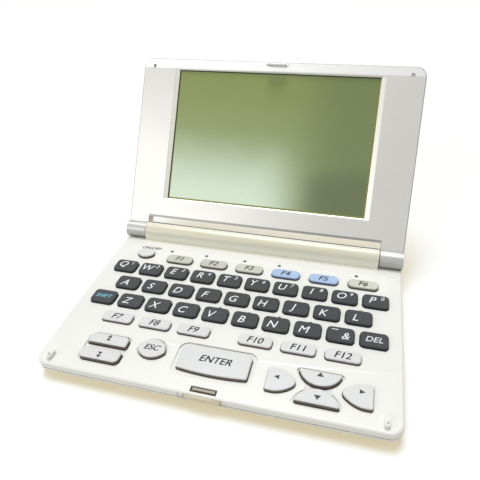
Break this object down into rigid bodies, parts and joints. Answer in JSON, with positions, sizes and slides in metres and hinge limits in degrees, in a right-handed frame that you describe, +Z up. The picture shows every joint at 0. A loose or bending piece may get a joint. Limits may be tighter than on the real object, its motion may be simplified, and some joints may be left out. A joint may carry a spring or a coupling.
{
  "type": "electronic dictionary",
  "caption": "Open clamshell electronic dictionary: keyboard base with sprung keys, a latch and a sliding battery door, and a friction-hinged lid that holds the display.",
  "frame": {"origin": "middle of the open device's footprint, on the table its feet stand on", "axes": "X along the hinge, towards the user's right; Y to the rear, away from the user; Z up"},
  "size_m": [0.149, 0.1522, 0.0933],
  "materials": {
    "case_white": "fine pearl paint",
    "lid_silver": "satin silver paint",
    "key_charcoal": "satin",
    "key_silver": "satin",
    "key_blue": "satin",
    "key_pale": "satin pearl",
    "display_glass": "reflective liquid crystal panel behind clear glass",
    "cell_jacket": "printed jacket, left bare",
    "board": "solder mask",
    "mat_rubber": "matt",
    "foot_rubber": "matt",
    "pin_steel": "turned"
  },
  "bodies": {
    "base": {"upper_case": "case_white", "lower_case": "case_white", "battery_cells": "cell_jacket", "main_board": "board", "key_mat": "mat_rubber", "hinge_pins": "pin_steel", "rubber_feet": "foot_rubber"},
    "lid": {"lid_bezel": "lid_silver", "lid_cover": "case_white", "display_panel": "display_glass"},
    "door": {"battery_door": "case_white"},
    "latch": {"latch_button": "case_white"},
    "key_q": {"key_q": "key_charcoal"},
    "key_w": {"key_w": "key_charcoal"},
    "key_e": {"key_e": "key_charcoal"},
    "key_r": {"key_r": "key_charcoal"},
    "key_t": {"key_t": "key_charcoal"},
    "key_y": {"key_y": "key_charcoal"},
    "key_u": {"key_u": "key_charcoal"},
    "key_i": {"key_i": "key_charcoal"},
    "key_o": {"key_o": "key_charcoal"},
    "key_p": {"key_p": "key_charcoal"},
    "key_a": {"key_a": "key_charcoal"},
    "key_s": {"key_s": "key_charcoal"},
    "key_d": {"key_d": "key_charcoal"},
    "key_f": {"key_f": "key_charcoal"},
    "key_g": {"key_g": "key_charcoal"},
    "key_h": {"key_h": "key_charcoal"},
    "key_j": {"key_j": "key_charcoal"},
    "key_k": {"key_k": "key_charcoal"},
    "key_l": {"key_l": "key_charcoal"},
    "key_shift": {"key_shift": "key_charcoal"},
    "key_z": {"key_z": "key_charcoal"},
    "key_x": {"key_x": "key_charcoal"},
    "key_c": {"key_c": "key_charcoal"},
    "key_v": {"key_v": "key_charcoal"},
    "key_b": {"key_b": "key_charcoal"},
    "key_n": {"key_n": "key_charcoal"},
    "key_m": {"key_m": "key_charcoal"},
    "key_dash": {"key_dash": "key_charcoal"},
    "key_delete": {"key_delete": "key_charcoal"},
    "key_function_1": {"key_function_1": "key_silver"},
    "key_function_2": {"key_function_2": "key_silver"},
    "key_function_3": {"key_function_3": "key_silver"},
    "key_function_4": {"key_function_4": "key_blue"},
    "key_function_5": {"key_function_5": "key_blue"},
    "key_function_6": {"key_function_6": "key_silver"},
    "key_option_1": {"key_option_1": "key_pale"},
    "key_option_2": {"key_option_2": "key_pale"},
    "key_option_3": {"key_option_3": "key_pale"},
    "key_option_4": {"key_option_4": "key_pale"},
    "key_option_5": {"key_option_5": "key_pale"},
    "key_option_6": {"key_option_6": "key_pale"},
    "key_power": {"key_power": "key_silver"},
    "key_enter": {"key_enter": "key_pale"},
    "key_back": {"key_back": "key_pale"},
    "key_left": {"key_left": "key_pale"},
    "key_right": {"key_right": "key_pale"},
    "page_rocker": {"page_rocker": "key_pale"},
    "cursor_rocker": {"cursor_rocker": "key_pale"}
  },
  "joints": [
    {"name": "lid_hinge", "type": "hinge", "parent": "base", "child": "lid", "pos_m": [0, 0.01959, 0.0126], "axis": [-1, 0, 0], "range_deg": [-123.6, 26.4]},
    {"name": "door_slide", "type": "slide", "parent": "base", "child": "door", "axis": [0, 1, 0], "range_m": [0, 0.014]},
    {"name": "latch_slide", "type": "slide", "parent": "base", "child": "latch", "axis": [0, 1, 0], "range_m": [0, 0.00065], "stiffness_N_per_m": 500, "springref_m": -0.0004},
    {"name": "key_q_press", "type": "slide", "parent": "base", "child": "key_q", "axis": [0, 0, 1], "range_m": [-0.0008, 0], "stiffness_N_per_m": 600, "springref_m": 0.0002},
    {"name": "key_w_press", "type": "slide", "parent": "base", "child": "key_w", "axis": [0, 0, 1], "range_m": [-0.0008, 0], "stiffness_N_per_m": 600, "springref_m": 0.0002},
    {"name": "key_e_press", "type": "slide", "parent": "base", "child": "key_e", "axis": [0, 0, 1], "range_m": [-0.0008, 0], "stiffness_N_per_m": 600, "springref_m": 0.0002},
    {"name": "key_r_press", "type": "slide", "parent": "base", "child": "key_r", "axis": [0, 0, 1], "range_m": [-0.0008, 0], "stiffness_N_per_m": 600, "springref_m": 0.0002},
    {"name": "key_t_press", "type": "slide", "parent": "base", "child": "key_t", "axis": [0, 0, 1], "range_m": [-0.0008, 0], "stiffness_N_per_m": 600, "springref_m": 0.0002},
    {"name": "key_y_press", "type": "slide", "parent": "base", "child": "key_y", "axis": [0, 0, 1], "range_m": [-0.0008, 0], "stiffness_N_per_m": 600, "springref_m": 0.0002},
    {"name": "key_u_press", "type": "slide", "parent": "base", "child": "key_u", "axis": [0, 0, 1], "range_m": [-0.0008, 0], "stiffness_N_per_m": 600, "springref_m": 0.0002},
    {"name": "key_i_press", "type": "slide", "parent": "base", "child": "key_i", "axis": [0, 0, 1], "range_m": [-0.0008, 0], "stiffness_N_per_m": 600, "springref_m": 0.0002},
    {"name": "key_o_press", "type": "slide", "parent": "base", "child": "key_o", "axis": [0, 0, 1], "range_m": [-0.0008, 0], "stiffness_N_per_m": 600, "springref_m": 0.0002},
    {"name": "key_p_press", "type": "slide", "parent": "base", "child": "key_p", "axis": [0, 0, 1], "range_m": [-0.0008, 0], "stiffness_N_per_m": 600, "springref_m": 0.0002},
    {"name": "key_a_press", "type": "slide", "parent": "base", "child": "key_a", "axis": [0, 0, 1], "range_m": [-0.0008, 0], "stiffness_N_per_m": 600, "springref_m": 0.0002},
    {"name": "key_s_press", "type": "slide", "parent": "base", "child": "key_s", "axis": [0, 0, 1], "range_m": [-0.0008, 0], "stiffness_N_per_m": 600, "springref_m": 0.0002},
    {"name": "key_d_press", "type": "slide", "parent": "base", "child": "key_d", "axis": [0, 0, 1], "range_m": [-0.0008, 0], "stiffness_N_per_m": 600, "springref_m": 0.0002},
    {"name": "key_f_press", "type": "slide", "parent": "base", "child": "key_f", "axis": [0, 0, 1], "range_m": [-0.0008, 0], "stiffness_N_per_m": 600, "springref_m": 0.0002},
    {"name": "key_g_press", "type": "slide", "parent": "base", "child": "key_g", "axis": [0, 0, 1], "range_m": [-0.0008, 0], "stiffness_N_per_m": 600, "springref_m": 0.0002},
    {"name": "key_h_press", "type": "slide", "parent": "base", "child": "key_h", "axis": [0, 0, 1], "range_m": [-0.0008, 0], "stiffness_N_per_m": 600, "springref_m": 0.0002},
    {"name": "key_j_press", "type": "slide", "parent": "base", "child": "key_j", "axis": [0, 0, 1], "range_m": [-0.0008, 0], "stiffness_N_per_m": 600, "springref_m": 0.0002},
    {"name": "key_k_press", "type": "slide", "parent": "base", "child": "key_k", "axis": [0, 0, 1], "range_m": [-0.0008, 0], "stiffness_N_per_m": 600, "springref_m": 0.0002},
    {"name": "key_l_press", "type": "slide", "parent": "base", "child": "key_l", "axis": [0, 0, 1], "range_m": [-0.0008, 0], "stiffness_N_per_m": 600, "springref_m": 0.0002},
    {"name": "key_shift_press", "type": "slide", "parent": "base", "child": "key_shift", "axis": [0, 0, 1], "range_m": [-0.0008, 0], "stiffness_N_per_m": 600, "springref_m": 0.0002},
    {"name": "key_z_press", "type": "slide", "parent": "base", "child": "key_z", "axis": [0, 0, 1], "range_m": [-0.0008, 0], "stiffness_N_per_m": 600, "springref_m": 0.0002},
    {"name": "key_x_press", "type": "slide", "parent": "base", "child": "key_x", "axis": [0, 0, 1], "range_m": [-0.0008, 0], "stiffness_N_per_m": 600, "springref_m": 0.0002},
    {"name": "key_c_press", "type": "slide", "parent": "base", "child": "key_c", "axis": [0, 0, 1], "range_m": [-0.0008, 0], "stiffness_N_per_m": 600, "springref_m": 0.0002},
    {"name": "key_v_press", "type": "slide", "parent": "base", "child": "key_v", "axis": [0, 0, 1], "range_m": [-0.0008, 0], "stiffness_N_per_m": 600, "springref_m": 0.0002},
    {"name": "key_b_press", "type": "slide", "parent": "base", "child": "key_b", "axis": [0, 0, 1], "range_m": [-0.0008, 0], "stiffness_N_per_m": 600, "springref_m": 0.0002},
    {"name": "key_n_press", "type": "slide", "parent": "base", "child": "key_n", "axis": [0, 0, 1], "range_m": [-0.0008, 0], "stiffness_N_per_m": 600, "springref_m": 0.0002},
    {"name": "key_m_press", "type": "slide", "parent": "base", "child": "key_m", "axis": [0, 0, 1], "range_m": [-0.0008, 0], "stiffness_N_per_m": 600, "springref_m": 0.0002},
    {"name": "key_dash_press", "type": "slide", "parent": "base", "child": "key_dash", "axis": [0, 0, 1], "range_m": [-0.0008, 0], "stiffness_N_per_m": 600, "springref_m": 0.0002},
    {"name": "key_delete_press", "type": "slide", "parent": "base", "child": "key_delete", "axis": [0, 0, 1], "range_m": [-0.0008, 0], "stiffness_N_per_m": 600, "springref_m": 0.0002},
    {"name": "key_function_1_press", "type": "slide", "parent": "base", "child": "key_function_1", "axis": [0, 0, 1], "range_m": [-0.0008, 0], "stiffness_N_per_m": 600, "springref_m": 0.0002},
    {"name": "key_function_2_press", "type": "slide", "parent": "base", "child": "key_function_2", "axis": [0, 0, 1], "range_m": [-0.0008, 0], "stiffness_N_per_m": 600, "springref_m": 0.0002},
    {"name": "key_function_3_press", "type": "slide", "parent": "base", "child": "key_function_3", "axis": [0, 0, 1], "range_m": [-0.0008, 0], "stiffness_N_per_m": 600, "springref_m": 0.0002},
    {"name": "key_function_4_press", "type": "slide", "parent": "base", "child": "key_function_4", "axis": [0, 0, 1], "range_m": [-0.0008, 0], "stiffness_N_per_m": 600, "springref_m": 0.0002},
    {"name": "key_function_5_press", "type": "slide", "parent": "base", "child": "key_function_5", "axis": [0, 0, 1], "range_m": [-0.0008, 0], "stiffness_N_per_m": 600, "springref_m": 0.0002},
    {"name": "key_function_6_press", "type": "slide", "parent": "base", "child": "key_function_6", "axis": [0, 0, 1], "range_m": [-0.0008, 0], "stiffness_N_per_m": 600, "springref_m": 0.0002},
    {"name": "key_option_1_press", "type": "slide", "parent": "base", "child": "key_option_1", "axis": [0, 0, 1], "range_m": [-0.0008, 0], "stiffness_N_per_m": 600, "springref_m": 0.0002},
    {"name": "key_option_2_press", "type": "slide", "parent": "base", "child": "key_option_2", "axis": [0, 0, 1], "range_m": [-0.0008, 0], "stiffness_N_per_m": 600, "springref_m": 0.0002},
    {"name": "key_option_3_press", "type": "slide", "parent": "base", "child": "key_option_3", "axis": [0, 0, 1], "range_m": [-0.0008, 0], "stiffness_N_per_m": 600, "springref_m": 0.0002},
    {"name": "key_option_4_press", "type": "slide", "parent": "base", "child": "key_option_4", "axis": [0, 0, 1], "range_m": [-0.0008, 0], "stiffness_N_per_m": 600, "springref_m": 0.0002},
    {"name": "key_option_5_press", "type": "slide", "parent": "base", "child": "key_option_5", "axis": [0, 0, 1], "range_m": [-0.0008, 0], "stiffness_N_per_m": 600, "springref_m": 0.0002},
    {"name": "key_option_6_press", "type": "slide", "parent": "base", "child": "key_option_6", "axis": [0, 0, 1], "range_m": [-0.0008, 0], "stiffness_N_per_m": 600, "springref_m": 0.0002},
    {"name": "key_power_press", "type": "slide", "parent": "base", "child": "key_power", "axis": [0, 0, 1], "range_m": [-0.0008, 0], "stiffness_N_per_m": 600, "springref_m": 0.0002},
    {"name": "key_enter_press", "type": "slide", "parent": "base", "child": "key_enter", "axis": [0, 0, 1], "range_m": [-0.0008, 0], "stiffness_N_per_m": 600, "springref_m": 0.0002},
    {"name": "key_back_press", "type": "slide", "parent": "base", "child": "key_back", "axis": [0, 0, 1], "range_m": [-0.0008, 0], "stiffness_N_per_m": 600, "springref_m": 0.0002},
    {"name": "key_left_press", "type": "slide", "parent": "base", "child": "key_left", "axis": [0, 0, 1], "range_m": [-0.0008, 0], "stiffness_N_per_m": 600, "springref_m": 0.0002},
    {"name": "key_right_press", "type": "slide", "parent": "base", "child": "key_right", "axis": [0, 0, 1], "range_m": [-0.0008, 0], "stiffness_N_per_m": 600, "springref_m": 0.0002},
    {"name": "page_rocker_tilt", "type": "hinge", "parent": "base", "child": "page_rocker", "pos_m": [-0.04735, -0.06261, 0.00795], "axis": [1, 0, 0], "range_deg": [-4, 4], "stiffness_Nm_per_rad": 0.014},
    {"name": "cursor_rocker_tilt", "type": "hinge", "parent": "base", "child": "cursor_rocker", "pos_m": [0.04295, -0.06251, 0.00795], "axis": [1, 0, 0], "range_deg": [-4, 4], "stiffness_Nm_per_rad": 0.014}
  ]
}
